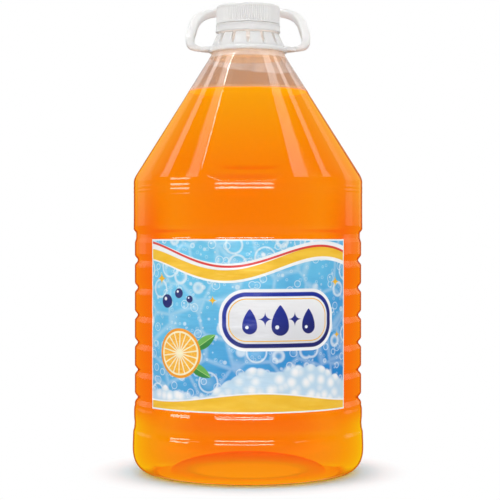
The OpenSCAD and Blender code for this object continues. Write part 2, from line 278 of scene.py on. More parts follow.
def patch(points, wrap_columns=True, wrap_rows=False, caps=(False, False), flip=False):
    """(vertices, faces) of a grid of points; caps close the first and last row by a fan to their middle."""
    rows, columns = points.shape[:2]
    verts = points.reshape(-1, 3)
    faces = quads(rows, columns, wrap_columns, wrap_rows).tolist()
    for last, wanted in enumerate(caps):
        if wanted:
            row = (rows - 1 if last else 0) * columns
            around = row + np.arange(columns)
            onward = row + (np.arange(columns) + 1) % columns
            middle = np.full(columns, len(verts))
            verts = np.vstack([verts, points[-1 if last else 0].mean(axis=0)])
            fan = np.stack([around, onward, middle] if last else [onward, around, middle], axis=-1)
            faces += fan.tolist()
    if flip:
        faces = [face[::-1] for face in faces]
    return verts, faces


def joined(patches):
    """One (vertices, faces) out of several, numbered on from each other."""
    verts, faces, start = [], [], 0
    for part_verts, part_faces in patches:
        verts.append(part_verts)
        faces += [[i + start for i in face] for face in part_faces]
        start += len(part_verts)
    return np.vstack(verts), faces


def mesh_of(name, geometry):
    """A mesh in metres from (vertices in millimetres, faces)."""
    verts, faces = geometry
    mesh = bpy.data.meshes.new(name)
    mesh.from_pydata((verts * MM).tolist(), [], faces)
    return mesh


def in_scene(name, data):
    """A new object with this mesh, lamp or camera, in the scene."""
    made = bpy.data.objects.new(name, data)
    bpy.context.scene.collection.objects.link(made)
    return made


def add_piece(name, geometry, body, node, material, sharp, uv=None, values=None):
    """A smooth shaded piece that rides on body and stands for the CAD node. Edges whose faces meet at more
    than sharp degrees are shaded sharp; uv and values hold a pair and a number for each vertex."""
    mesh = mesh_of(name, geometry)
    mesh.validate()
    mesh.polygons.foreach_set("use_smooth", np.ones(len(mesh.polygons), bool))
    if uv is not None:
        corner = np.zeros(len(mesh.loops), np.int32)
        mesh.loops.foreach_get("vertex_index", corner)
        layer = mesh.uv_layers.new(name="UVMap")
        layer.data.foreach_set("uv", uv[corner].astype(np.float32).ravel())
    for key, data in (values or {}).items():
        layer = mesh.attributes.new(key, "FLOAT", "POINT")
        layer.data.foreach_set("value", data.astype(np.float32))
    mesh.update()
    mesh.materials.append(material)
    piece = in_scene(name, mesh)
    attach(piece, body)
    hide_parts(node)
    if sharp is not None:
        mesh.set_sharp_from_angle(angle=math.radians(sharp))


# Shaders


class Wire:
    """A number on its way through a node tree: Python's arithmetic on it adds Math nodes."""

    def __init__(self, paint, socket):
        self.paint, self.socket = paint, socket

    def __add__(self, other):
        return self.paint.math("ADD", self, other)

    __radd__ = __add__

    def __sub__(self, other):
        return self.paint.math("SUBTRACT", self, other)

    def __rsub__(self, other):
        return self.paint.math("SUBTRACT", other, self)

    def __mul__(self, other):
        return self.paint.math("MULTIPLY", self, other)

    __rmul__ = __mul__

    def __truediv__(self, other):
        return self.paint.math("DIVIDE", self, other)

    def __rtruediv__(self, other):
        return self.paint.math("DIVIDE", other, self)

    def __pow__(self, other):
        return self.paint.math("POWER", self, other)

    def __abs__(self):
        return self.paint.math("ABSOLUTE", self)

    def least(self, other):
        return self.paint.math("MINIMUM", self, other)

    def most(self, other):
        return self.paint.math("MAXIMUM", self, other)

    def sine(self):
        return self.paint.math("SINE", self)

    def root(self):
        return self.paint.math("SQRT", self)

    def rest(self, step):
        return self.paint.math("FLOORED_MODULO", self, step)

    def step(self, low, high):
        """Smooth step from 0 at low to 1 at high; low may be the greater."""
        return self.paint.ramp(self, low, high)

    def band(self, low, high, soft):
        """1 between low and high and 0 outside, over a soft edge."""
        return self.step(low - soft, low + soft) * self.step(high + soft, high - soft)


def length(x, y):
    """Root of x squared plus y squared, on wires."""
    return (x ** 2.0 + y ** 2.0).root()


class Paint:
    """The node tree of a material or of the world, and the few ways it grows."""

    def __init__(self, owner, out="ShaderNodeOutputMaterial"):
        owner.use_nodes = True
        self.owner, self.tree = owner, owner.node_tree
        self.tree.nodes.clear()
        self.out = self.tree.nodes.new(out)

    def feed(self, socket, value):
        """Links a wire or a node's socket, or sets a plain value."""
        if isinstance(value, Wire):
            value = value.socket
        if isinstance(value, bpy.types.NodeSocket):
            self.tree.links.new(value, socket)
        elif isinstance(value, (tuple, list)) and len(value) == 3 and socket.type == "RGBA":
            socket.default_value = (*value, 1)
        else:
            socket.default_value = value

    def node(self, kind, settings=None, inputs=None):
        """A node of this kind with its settings and inputs, the inputs by name or number."""
        made = self.tree.nodes.new(kind)
        for key, value in (settings or {}).items():
            setattr(made, key, value)
        for key, value in (inputs or {}).items():
            self.feed(made.inputs[key], value)
        return made

    def math(self, operation, a, b=None):
        values = {0: a} if b is None else {0: a, 1: b}
        return Wire(self, self.node("ShaderNodeMath", {"operation": operation}, values).outputs[0])

    def ramp(self, value, low, high):
        """Smooth step of a wire; a low over the high turns it round."""
        inputs = {"Value": value, "From Min": min(low, high), "From Max": max(low, high)}
        inputs.update({"To Min": float(low > high), "To Max": float(low <= high)})
        made = self.node("ShaderNodeMapRange", {"interpolation_type": "SMOOTHSTEP"}, inputs)
        return Wire(self, made.outputs["Result"])

    def coordinates(self):
        """The point in the part's frame, in metres."""
        return self.node("ShaderNodeTexCoord").outputs["Object"]

    def parts(self, vector):
        """X, Y and Z of a vector."""
        split = self.node("ShaderNodeSeparateXYZ", inputs={0: vector})
        return [Wire(self, split.outputs[i]) for i in range(3)]

    def place(self):
        """X, Y and Z of the point in the part's frame, in millimetres."""
        return [part * 1000 for part in self.parts(self.coordinates())]

    def facing(self):
        """0 where the surface faces the eye and 1 at grazing."""
        return Wire(self, self.node("ShaderNodeLayerWeight", inputs={"Blend": 0.5}).outputs["Facing"])

    def rays(self):
        """1 for camera rays, for transmission rays and for glossy rays, in this order."""
        path = self.node("ShaderNodeLightPath")
        return [Wire(self, path.outputs[f"Is {kind} Ray"]) for kind in ("Camera", "Transmission", "Glossy")]

    def value_of(self, attribute):
        return Wire(self, self.node("ShaderNodeAttribute", {"attribute_name": attribute}).outputs["Fac"])

    def vector(self, x, y, z):
        return self.node("ShaderNodeCombineXYZ", inputs={0: x, 1: y, 2: z}).outputs[0]

    def noise(self, vector, scale, detail=2.0, roughness=0.5, distortion=0.0):
        inputs = {"Vector": vector, "Scale": scale, "Detail": detail, "Roughness": roughness}
        made = self.node("ShaderNodeTexNoise", inputs={**inputs, "Distortion": distortion})
        return Wire(self, made.outputs["Fac"])

    def cells(self, vector, scale, feature="F1", randomness=1.0):
        """Distance to the nearest point, or edge, of a pattern of random cells."""
        inputs = {"Vector": vector, "Scale": scale, "Randomness": randomness}
        made = self.node("ShaderNodeTexVoronoi", {"feature": feature}, inputs)
        return Wire(self, made.outputs["Distance"])

    def mix(self, share, low, high):
        """Colour between two, by share."""
        made = self.node("ShaderNodeMix", {"data_type": "RGBA", "blend_type": "MIX", "clamp_factor": True})
        self.feed(made.inputs["Factor"], share)
        self.feed(made.inputs[6], low)
        self.feed(made.inputs[7], high)
        return made.outputs[2]

    def bump(self, height, distance, strength):
        inputs = {"Strength": strength, "Distance": distance, "Height": height}
        return self.node("ShaderNodeBump", inputs=inputs).outputs["Normal"]

    def shader(self, **inputs):
        """Principled shader, where base_color stands for the socket Base Color, and so on."""
        named = {}
        for key, value in inputs.items():
            named[key.replace("_", " ").title().replace("Ior", "IOR")] = value
        return self.node("ShaderNodeBsdfPrincipled", inputs=named).outputs[0]

    def pass_on(self, colour):
        """Clear shader that tints light and doesn't bend it."""
        inputs = {"Color": colour, "Roughness": 0.0, "IOR": 1.0}
        return self.node("ShaderNodeBsdfRefraction", inputs=inputs).outputs[0]

    def blend(self, share, low, high):
        """Shader between two, by share."""
        return self.node("ShaderNodeMixShader", inputs={0: share, 1: low, 2: high}).outputs[0]

    def show(self, surface, volume=None):
        """Links the output and gives the material or world back."""
        self.feed(self.out.inputs["Surface"], surface)
        if volume is not None:
            self.feed(self.out.inputs["Volume"], volume)
        return self.owner


def material_paint(name):
    return Paint(bpy.data.materials.new(name))


# Properties


class BottleLooks(PropertyGroup):
    wall: FloatProperty(
        name="Wall",
        description="Thickness of the blown wall",
        default=0.0004,
        unit="LENGTH",
    )
    thread_depth: FloatProperty(
        name="Thread depth",
        description="Height of the neck's thread over the finish",
        default=0.0008,
        unit="LENGTH",
    )
    # Painted shade: how strongly the warm shade on the empty wall covers what lies behind it
    film: FloatProperty(
        name="Headspace film",
        description="How much the empty wall veils what lies behind it",
        default=0.3,
        subtype="FACTOR",
    )
    # Painted shade: colour of the warm shade on the empty wall
    headspace_shade: FloatVectorProperty(
        name="Film colour",
        description="Tint of the empty wall",
        default=(0.58, 0.40, 0.30),
        subtype="COLOR",
    )
    soap_tint: FloatVectorProperty(
        name="Soap tint",
        description="Tint that the liquid gives at its surface",
        default=(1.0, 0.72, 0.1),
        subtype="COLOR",
    )
    soap_colour: FloatVectorProperty(
        name="Soap colour",
        description="Colour left after a long way through the liquid",
        default=(1.0, 0.865, 0.0),
        subtype="COLOR",
    )
    soap_density: FloatProperty(
        name="Soap density",
        description="How fast the liquid takes the other colours out, per metre",
        default=60.0,
    )


class HandleLooks(PropertyGroup):
    side: FloatProperty(
        name="Side",
        description="Axis to the middle of a leg",
        default=0.0382,
        unit="LENGTH",
    )
    reach: FloatProperty(
        name="Reach",
        description="Axis to the middle of the back strap",
        default=0.067,
        unit="LENGTH",
    )
    rise: FloatProperty(
        name="Rise",
        description="Rise of the back strap over the ring",
        default=0.0353,
        unit="LENGTH",
    )
    face: FloatProperty(
        name="Face",
        description="Width of the strap's face",
        default=0.0059,
        unit="LENGTH",
    )
    thick: FloatProperty(
        name="Thickness",
        description="Thickness of the strap",
        default=0.0056,
        unit="LENGTH",
    )
    slots: IntProperty(
        name="Slots",
        description="Slots between the crown's fingers",
        default=14,
        min=6,
        max=24,
    )
    colour: FloatVectorProperty(
        name="Plastic colour",
        description="Colour of the handle, cap and band",
        default=(0.80, 0.795, 0.785),
        subtype="COLOR",
    )


class LabelLooks(PropertyGroup):
    sky: FloatVectorProperty(
        name="Sky",
        description="Palest blue of the print",
        default=(0.16, 0.60, 0.87),
        subtype="COLOR",
    )
    water: FloatVectorProperty(
        name="Water",
        description="Strongest blue of the print",
        default=(0.006, 0.24, 0.66),
        subtype="COLOR",
    )
    gold: FloatVectorProperty(
        name="Gold",
        description="Yellow of the waves",
        default=(0.95, 0.54, 0.02),
        subtype="COLOR",
    )
    navy: FloatVectorProperty(
        name="Navy",
        description="Dark blue of the plain shapes",
        default=(0.015, 0.02, 0.16),
        subtype="COLOR",
    )


# Bottle


def foot_profile(t):
    """Base from its middle to the widest ring, moved in by t and up by a small part of t, so that the
    liquid shows right down to the foot: the push-up, a parabola; the flat foot ring; and a corner with
    the outline (1 - (1 - u)^p)^(1/p), with p its power."""
    low = FOOT_WALL * t
    u = np.linspace(0, 1, 20)
    push = np.stack([FOOT_INNER_R * u, PUSH_UP * (1 - u * u) + low], axis=1)
    u = 1 - (1 - np.linspace(0, 1, 27)) ** 2
    out = (1 - (1 - u) ** CORNER_POWER) ** (1 / CORNER_POWER)
    r = FOOT_OUTER_R + (BULGE_R - t - FOOT_OUTER_R) * out
    return np.vstack([push, np.stack([r, low + (BULGE_Z - low) * u], axis=1)])


def grooves(z, half):
    """Sum of the raised cosines of the panel's grooves, each 1 at its middle and 0 from half away on."""
    return sum(swell((z - PANEL_Z - GROOVE_FIRST - GROOVE_PITCH * n) / half) for n in range(GROOVES))


def side_profile(t):
    """Side from the widest ring to the plain band's top, moved in by t: the step, the waist and the bead;
    the panel with its grooves and the wide groove over it; and the band with two fine rings near its top."""
    corners = [
        [BULGE_R - 0.05, 19.5], [BULGE_R - 0.35, 27], [WAIST_R + 0.35, 28.4], [WAIST_R, 32.6],
        [BEAD_R, 36.7], [BEAD_R, 41.7], [PANEL_R, PANEL_Z],
    ]
    low = softened(spaced(corners, 0.6), 2)
    z = np.arange(PANEL_Z + 0.5, BAND_Z - 0.3, 0.8)
    into = (PANEL_R - COLLAR_R) * smooth(z, PANEL_TOP, PANEL_TOP + 3.6)
    back = (BAND_R - COLLAR_R) * smooth(z, BAND_Z - 2.9, BAND_Z)
    panel = np.stack([PANEL_R - GROOVE_DEPTH * grooves(z, GROOVE_HALF) - into + back, z], axis=1)
    z = np.concatenate([np.arange(BAND_Z, BAND_TOP - 9, 2.6), np.arange(BAND_TOP - 8, BAND_TOP, 0.25)])
    fine = swell((z - BAND_TOP + 3.0) / 1.3) + swell((z - BAND_TOP + 5.5) / 1.3)
    ringed = -0.12 + 0.04 * smooth(z, BAND_TOP - 2, BAND_TOP) + 0.12 * fine
    plain = -0.1 * smooth(z, BAND_Z, BAND_Z + 6)
    band = np.stack([BAND_R + np.where(z > BAND_TOP - 8, ringed, plain), z], axis=1)
    side = np.vstack([low, panel, band])
    side[:, 0] -= t
    return side


def cone_tip(t):
    """Height of the tip of the shoulder's cone when its wall is moved in by t."""
    return TIP_Z - t / math.sin(SLOPE)


def shoulder_profile(t, top):
    """The bend from the band into the cone, then the cone up to the height given, moved in by t."""
    a = SLOPE * np.linspace(0.08, 1, 9)
    r = BAND_R - BEND_R + (BEND_R - t) * np.cos(a)
    bend = np.stack([r, BAND_TOP + (BEND_R - t) * np.sin(a)], axis=1)
    low = bend[-1, 1]
    z = np.concatenate([np.arange(low + 1.0, low + 8, 0.9), np.linspace(low + 9, top, 36)])
    return np.vstack([bend, np.stack([(cone_tip(t) - z) * CONE, z], axis=1)])


def neck_profile():
    """Outside of the neck up to the lip: the groove that the handle's hooks sit in, the transfer ring,
    the locking bead, the finish and its rounded lip."""
    lock = BAND_LID - 1.2
    corners = [
        [NECK_R, NECK_Z + 0.3], [NECK_R, RING_Z - 0.2], [RING_R, RING_Z + 0.1], [RING_R, RING_Z + 1.3],
        [FINISH_R, RING_Z + 1.7], [FINISH_R, lock - 0.1], [18.7, lock + 0.2], [18.6, lock + 0.5],
        [FINISH_R, lock + 1.1],
    ]
    low = softened(spaced(corners, 0.42), 1)
    z = np.arange(lock + 1.4, LIP_Z - 0.5, 0.45)
    finish = np.stack([np.full_like(z, FINISH_R), z], axis=1)
    a = np.radians(np.linspace(0, 90, 6))
    lip = np.stack([FINISH_R + LIP_EDGE * (np.cos(a) - 1), LIP_Z + LIP_EDGE * (np.sin(a) - 1)], axis=1)
    return np.vstack([low, finish, lip])


def facet_columns():
    """Azimuth of each of the shell's columns, its angle from the middle of its facet and half that facet's
    width, in radians. A facet's columns are even, with one more close to each ridge, which rounds it."""
    columns = []
    for front in (-90.0 + FACET_TWIST, 90.0 + FACET_TWIST):
        facets = [(front, WIDE_HALF, 20)]
        for n in range(NARROW_COUNT):
            facets.append((front + WIDE_PITCH / 2 + (n + 0.5) * NARROW_PITCH, NARROW_HALF, 6))
        for middle, half, count in facets:
            across = np.linspace(0.9 - half, half - 0.9, count)
            across = np.concatenate([[0.1 - half], across, [half - 0.1]])
            columns.append(np.stack([middle + across, across, np.full_like(across, half)]))
    return np.radians(np.concatenate(columns, axis=1))


def faceted(profile, t):
    """Shell surface: the profile turned about Z, and cut by the facets to the softened lesser of its radius
    and the cone's radius times cos(half) / cos(angle from the facet's middle). Above each facet's arch the
    cut ends: the arch is the circle, in the facet's plane, that meets both ridges, with its top at one
    height. Lengths in that plane are measured down from the cone's tip and aside from its middle."""
    azimuth, across, half = facet_columns()
    r, z = profile[:, :1], profile[:, 1:]
    tip = cone_tip(t)
    cone = np.maximum((tip - z) * CONE, 0)
    lean = np.arctan(np.cos(half) * CONE)
    spread = np.tan(half) * np.sin(lean)
    arch_down = (tip - ARCH_Z) / np.cos(lean) / (1 - spread)
    down = (tip - z) / np.cos(lean)
    aside = cone * np.cos(half) * np.tan(across)
    room = spread * arch_down - np.hypot(aside, down - arch_down)
    cut = np.where(down > arch_down, 1.0, smooth(room, -0.45, 0.55))
    cut = cut * smooth(z, BAND_TOP - 3.5, BAND_TOP + 4.5)
    crowned = 1 + 0.004 * (1 - (across / half) ** 2)
    facet = cone * (1 - (1 - np.cos(half) / np.cos(across) * crowned) * cut)
    fillet = np.where(cone > 40, 0.5, 0.12)
    surface = lesser(r, np.where(cut > 0, facet, r + 5), fillet)
    surface = np.where((z > NECK_Z - 0.5) | (z < BAND_Z + 8), r, surface)
    return ring_grid(surface, z, azimuth)


def threaded(points, depth, start_z):
    """Adds a helical ridge to a turned surface: depth times a raised cosine of the height over the helix
    start_z + pitch a / 2 pi, faded in and out; a depth under zero stands inwards."""
    x, y, z = points[..., 0], points[..., 1], points[..., 2]
    around = np.arctan2(y, x) % TURN / TURN
    ridge = np.zeros_like(z)
    for n in range(math.ceil(THREAD_TURNS) + 1):
        along = around + n
        fade = smooth(along, 0, THREAD_FADE) * smooth(along, THREAD_TURNS, THREAD_TURNS - THREAD_FADE)
        ridge = np.maximum(ridge, fade * swell((z - start_z - THREAD_PITCH * along) / THREAD_HALF))
    scale = 1 + depth * ridge / np.maximum(np.hypot(x, y), 1)
    return points * np.stack([scale, scale, np.ones_like(scale)], axis=-1)


def shell_paint(looks):
    """Clear PET: see-through, with a gloss that grows towards grazing as 0.04 + 0.96 f^5, stronger on the
    empty wall, held back on the wet one and left out on its inside, where the liquid touches it. The
    empty wall is veiled by a warm painted shade in soft upright lines, which stands in for the darker
    surroundings seen through it: thicker and darker in a band over the liquid at the back, a paler painted
    reflection of the handle's ring under that ring, a painted glow in the neck behind the crown's slots and
    a painted highlight just over the liquid's level. At grazing the wet side wall darkens to deep orange, a
    painted shade along its outline."""
    paint = material_paint("clear_pet")
    coordinates = paint.coordinates()
    x, y, z = paint.place()
    wet = paint.value_of("wet")
    dry = 1 - wet
    lit = 1 - paint.value_of("hidden")
    facing = paint.facing()
    grazing = 0.04 + 0.96 * facing ** 5.0
    fresnel = ((grazing * 1.7).least(0.25) * dry + grazing.least(0.07) * wet) * lit

    # Painted shade in soft upright lines, standing in for the darker surroundings seen through the empty
    # wall
    upright = {"Vector": coordinates, "Scale": (1.0, 1.0, 0.05)}
    shade_streaks = paint.noise(paint.node("ShaderNodeMapping", inputs=upright).outputs[0], 120.0, 3.0, 0.55)
    # Painted shade: darker and thicker veil at the back, below a wavy line over the liquid
    edge = 265.6 - x * 0.1 + (shade_streaks - 0.5) * 1.6
    back_shade = (z - edge).step(0.5, -0.5) * y.step(-4.0, 6.0)
    # Painted reflection: paler, peach band of the handle's ring on the wall under it
    under = z.step(269.8, 271.2)
    # Painted light: pale, glowing neck behind the crown's slots, where it would else lie in shade
    neck_glow = z.step(273.5, 275.5)
    # Painted highlight: thin pale orange line on the empty wall just over the liquid's level
    rim = z.step(LEVEL_Z + 1.3, LEVEL_Z + 0.9)
    veil = (shade_streaks.step(0.3, 0.8) * 0.5 + 0.75 + back_shade * 1.3 + under * 0.9 + neck_glow * 1.2) * looks.film
    veil = veil.most(rim * 0.45) * dry
    tint = paint.mix(back_shade, tuple(looks.headspace_shade), tuple(c * 0.85 for c in looks.headspace_shade))
    tint = paint.mix(under, tint, (0.90, 0.81, 0.75))
    tint = paint.mix(neck_glow, tint, (0.95, 0.88, 0.82))
    tint = paint.mix(rim, tint, (1.0, 0.72, 0.42))
    glow = paint.mix(neck_glow, BLACK, (0.19, 0.17, 0.16))
    wave = paint.bump(paint.noise(coordinates, 22.0), 0.0012, 0.13)
    # The empty wall's painted shade, lit by the lamps, with the painted glow behind the crown's slots
    shade_layer = paint.shader(
        base_color=tint,
        roughness=0.3,
        emission_color=glow,
        emission_strength=1.0,
        normal=wave,
    )

    clear = paint.node("ShaderNodeBsdfTransparent", inputs={"Color": WHITE}).outputs[0]
    clear = paint.blend(wet * lit, clear, paint.pass_on(WHITE))
    # Painted shade: deep orange tint at grazing along the wet side wall's outline
    side = length(x, y).step(58.5, 60.5).most(z.step(150.0, 170.0))
    outline = facing.step(0.81, 0.91) * wet * lit * side
    clear = paint.blend(outline, clear, paint.pass_on((0.75, 0.34, 0.06)))
    gloss = paint.shader(base_color=WHITE, metallic=1.0, roughness=0.03, normal=wave)
    return paint.show(paint.blend(fresnel, paint.blend(veil.least(0.92), clear, shade_layer), gloss))


def soap_paint(looks):
    """Clear orange liquid: light loses green and blue along its way through. It bends light that meets the
    surface squarely, and lets through straight what would else stay in the liquid and go dark. Tints of
    their own stand for light that the foot, the push-up and the shoulder scatter, and the top face has a
    little light, redder towards the sides."""
    paint = material_paint("orange_soap")
    x, y, z = paint.place()
    # Painted shade: deeper orange across the middle of the waist and bead
    waist_shade = z.band(22.0, 46.0, 3.0) * abs(x).step(52.0, 26.0)
    tint = paint.mix(waist_shade, tuple(looks.soap_tint), (1.0, 0.56, 0.04))
    tint = paint.mix(z.step(20.0, 18.8), tint, (1.0, 0.78, 0.07))
    bent = paint.shader(base_color=tint, roughness=0.0, transmission_weight=1.0, ior=1.16)
    straight = paint.pass_on((1.0, 0.55, 0.02))
    straight = paint.blend(z.step(46.0, 28.0), straight, paint.pass_on((1.0, 0.81, 0.02)))
    straight = paint.blend(z.step(150.0, 200.0), straight, paint.pass_on((1.0, 0.70, 0.07)))
    push_up = length(x, y).step(66.0, 60.0) * z.step(16.0, 15.0)
    leaving = paint.pass_on((1.0, 0.48, 0.006))
    leaving = paint.blend(y.step(10.0, 22.0), leaving, paint.pass_on((1.0, 0.96, 0.5)))
    straight = paint.blend(push_up, straight, leaving)
    surface = paint.blend(paint.facing().step(0.16, 0.52).most(push_up), bent, straight)
    shine = paint.mix(abs(x).step(16.0, 33.0), (0.9, 0.47, 0.009), (0.9, 0.34, 0.009))
    top = paint.shader(
        base_color=(0.9, 0.4, 0.01),
        roughness=0.05,
        emission_color=shine,
        emission_strength=1.0,
    )
    surface = paint.blend(paint.value_of("top"), surface, top)
    depth = {"Color": tuple(looks.soap_colour), "Density": looks.soap_density}
    return paint.show(surface, paint.node("ShaderNodeVolumeAbsorption", inputs=depth).outputs[0])


class BOTTLE_OT_shell(Operator):
    """Builds the blown PET shell with ribs, facets, neck rings and thread, outside and inside"""

    bl_idname = "bottle.shell"
    bl_label = "Clear shell"

    def execute(self, context):
        looks = context.scene.bottle_looks
        t = looks.wall / MM
        shoulder = shoulder_profile(0, NECK_Z - 0.4)
        outside = np.vstack([foot_profile(0), side_profile(0), shoulder, neck_profile()])
        outer = threaded(faceted(outside, 0), looks.thread_depth / MM, SKIRT_Z + 2.3)[1:]
        bore = spaced([[BORE_R, LIP_Z - 1.5], [BORE_R, TIP_Z - BORE_R / CONE - 1.0]], 2.0)
        mouth = np.vstack([[[16.6, LIP_Z], [16.15, LIP_Z - 0.25], [BORE_R, LIP_Z - 0.7]], bore])
        inside = np.vstack([foot_profile(t)[::2], side_profile(t)[::2], shoulder_profile(t, BORE_Z)[::2]])
        inner = faceted(inside, t)[:0:-1]
        rows = [outer, turned(mouth, facet_columns()[0]), inner]
        geometry = patch(np.concatenate(rows), caps=(True, True))
        z = geometry[0][:, 2]
        behind = np.arange(len(z)) >= outer.shape[0] * outer.shape[1]
        values = {"wet": z < LEVEL_Z, "hidden": behind & (z < LEVEL_Z)}
        material = shell_paint(looks)
        add_piece("clear_shell", geometry, "bottle", "bottle", material, 60, values=values)
        return {"FINISHED"}


class BOTTLE_OT_soap(Operator):
    """Builds the liquid inside the shell up to its level, with a small rise where it wets the wall"""

    bl_idname = "bottle.soap"
    bl_label = "Liquid"

    def execute(self, context):
        looks = context.scene.bottle_looks
        t = looks.wall / MM + 0.05
        profile = np.vstack([foot_profile(t)[::2], side_profile(t), shoulder_profile(t, BORE_Z)])
        profile = profile[profile[:, 1] < LEVEL_Z - 0.2]
        profile = np.vstack([profile, [[(cone_tip(t) - LEVEL_Z) * CONE, LEVEL_Z]]])
        body = faceted(profile, t)
        shares = np.array([0.985, 0.965, 0.94, 0.8, 0.5, 0.2])[:, None, None]
        drop = np.array([0.55, 0.85, 0.95, 1.0, 1.0, 1.0])[:, None]
        top = body[-1] * shares
        top[..., 2] = LEVEL_Z - 0.8 * drop
        geometry = patch(np.concatenate([body[1:], top]), caps=(True, True))
        z = geometry[0][:, 2]
        values = {"top": (z > LEVEL_Z - 1) & (z < LEVEL_Z - 0.4)}
        add_piece(
            "orange_liquid", geometry, "bottle", "liquid_soap",
            soap_paint(looks), None, values=values,
        )
        return {"FINISHED"}


# Closure


def plastic_paint(name, colour, roughness, marks):
    """Moulded plastic: a faint cloudy tone, a warm cast in small worn marks, and fine moulding grain in bump
    and roughness."""
    paint = material_paint(name)
    coordinates = paint.coordinates()
    cloud = paint.noise(coordinates, 35.0, 3.0)
    grain = paint.noise(coordinates, 1800.0, 2.0, 0.6)
    scuff = paint.noise(coordinates, 260.0, 4.0, 0.7, 0.6)
    tone = tuple(colour)
    warm = (tone[0] * 0.98, tone[1] * 0.935, tone[2] * 0.87)
    pale = tuple(min(1.0, c * 1.05) for c in tone)
    clouded = paint.mix(cloud.step(0.3, 0.7), tone, pale)
    surface = paint.shader(
        base_color=paint.mix(scuff.step(0.62, 0.8) * marks, clouded, warm),
        roughness=roughness + (cloud - 0.5) * 0.12 + scuff.step(0.55, 0.8) * 0.1,
        subsurface_weight=0.12,
        subsurface_radius=(0.004, 0.003, 0.002),
        subsurface_scale=1.0,
        normal=paint.bump(grain * 0.5 + scuff * 0.6, 0.00006, 0.6),
    )
    return paint.show(surface)


class BOTTLE_OT_closure(Operator):
    """Builds the screw cap with its gripping ribs and thread, the sealing disc and the tamper band"""

    bl_idname = "bottle.closure"
    bl_label = "Cap, liner and tamper band"

    def execute(self, context):
        white = plastic_paint("cap_plastic", context.scene.handle_looks.colour, 0.38, 0.5)
        self.cap(white)
        self.liner()
        self.band(white)
        return {"FINISHED"}

    def cap(self, material):
        """Outside radius less the ribs' depth times a rounded wave; the ribs fade into plain rims at the
        skirt's lower edge and under the rounded top edge. The bore holds the thread."""
        angle = full_turn(CAP_RIBS * 6)
        edge_z = CAP_TOP - CAP_EDGE
        a = np.radians(np.linspace(90, 0, 8))
        face = [[0.6, CAP_TOP - 0.12], [1.2, CAP_TOP - 0.12], [1.5, CAP_TOP], [9, CAP_TOP], [17.6, CAP_TOP]]
        edge = np.stack([CAP_R - CAP_EDGE + CAP_EDGE * np.cos(a), edge_z + CAP_EDGE * np.sin(a)], axis=1)
        wall = [[CAP_R, edge_z - drop] for drop in (0.3, 0.6, 0.9, 1.2, 1.6, 2.6, 3.8, 5.2, 6.6, 8.0, 8.9)]
        wall += [[CAP_R, SKIRT_Z + rise] for rise in (1.6, 1.3, 1.0, 0.7, 0.3)]
        outside = np.vstack([face, [[18.4, CAP_TOP]], edge, wall])
        foot = [[20.7, SKIRT_Z + 0.08], [20.55, SKIRT_Z], [19.1, SKIRT_Z], [18.92, SKIRT_Z + 0.15]]
        bore = [[CAP_BORE_R, z] for z in np.arange(SKIRT_Z + 0.4, CEILING_Z - 0.1, 0.3)]
        ceiling = [[r, CEILING_Z] for r in (18.6, 12, 5, 0.6)]
        inside = np.vstack([foot, bore, [[CAP_BORE_R, CEILING_Z - 0.05]], ceiling])
        r, z = outside[:, :1], outside[:, 1:]
        ribs = smooth(z, SKIRT_Z + 0.9, SKIRT_Z + 1.3) * smooth(z, edge_z - 0.2, edge_z - 0.8) * (r > 20.3)
        wave = 0.5 - 0.5 * np.cos(CAP_RIBS * angle)
        skin = ring_grid(r - RIB_DEPTH * ribs * wave ** 1.6, z, angle)
        lining = threaded(turned(inside, angle), -CAP_THREAD, SKIRT_Z + 1.2)
        geometry = patch(np.concatenate([skin, lining]), caps=(True, True), flip=True)
        add_piece("screw_cap", geometry, "cap", "cap", material, 50)

    def liner(self):
        """A foam disc with rounded edges and a shallow pressed ring in its face where the lip bears."""
        top = CEILING_Z - 0.05
        outline = section_outline([[0.2, top], [LINER_R, top], [LINER_R, LINER_Z], [0.2, LINER_Z]], 0.25)
        points = turned(spaced(outline, 0.35, closed=True), full_turn(128))
        face = points[..., 2] < LINER_Z + 0.3
        press = 0.12 * swell((np.hypot(points[..., 0], points[..., 1]) - 16.8) / 1.4)
        points[..., 2] += np.where(face, press, 0)
        paint = material_paint("liner_foam")
        foam = paint.cells(paint.coordinates(), 2600.0)
        surface = paint.shader(
            base_color=paint.mix(foam.step(0.2, 0.7), (0.86, 0.85, 0.8), (0.8, 0.78, 0.71)),
            roughness=0.75,
            normal=paint.bump(foam, 0.0001, 0.4),
        )
        geometry = patch(points, wrap_rows=True, flip=True)
        material = paint.show(surface)
        add_piece("sealing_disc", geometry, "cap_rise", "cap_liner", material, None)

    def band(self, material):
        """The ring under the skirt: a flared lip below, a bead above, a ledge inside that catches the neck's
        bead, and small stubs on top where its bridges have broken."""
        low, top, bore = BAND_LOW, BAND_LID, BAND_BORE_R
        corners = [
            [bore, low], [20.95, low], [21.25, low + 0.3], [21.25, low + 1], [20.9, top - 2],
            [20.9, top - 1.1], [21.1, top - 0.8], [21.1, top - 0.3], [20.9, top], [bore, top],
            [bore, top - 1.4], [17.9, top - 1.4], [17.9, top - 1.75], [bore, top - 2.6],
        ]
        ring = patch(turned(section_outline(corners, 0.22, 3), full_turn(192)), wrap_rows=True, flip=True)
        height = top - 0.05 + np.array([0.0, 0.28, 0.36, 0.28, 0.0])[:, None]
        radius = np.array([20.1, 20.16, 20.4, 20.64, 20.7])[:, None]
        stubs = []
        for n in range(STUBS):
            angle = TURN * (n + 0.5) / STUBS + np.array([-0.018, -0.009, 0.009, 0.018])
            stubs.append(patch(ring_grid(radius, height, angle), wrap_columns=False, flip=True))
        geometry = joined([ring, *stubs])
        add_piece("tamper_ring", geometry, "bottle", "tamper_band", material, 45)


# Handle


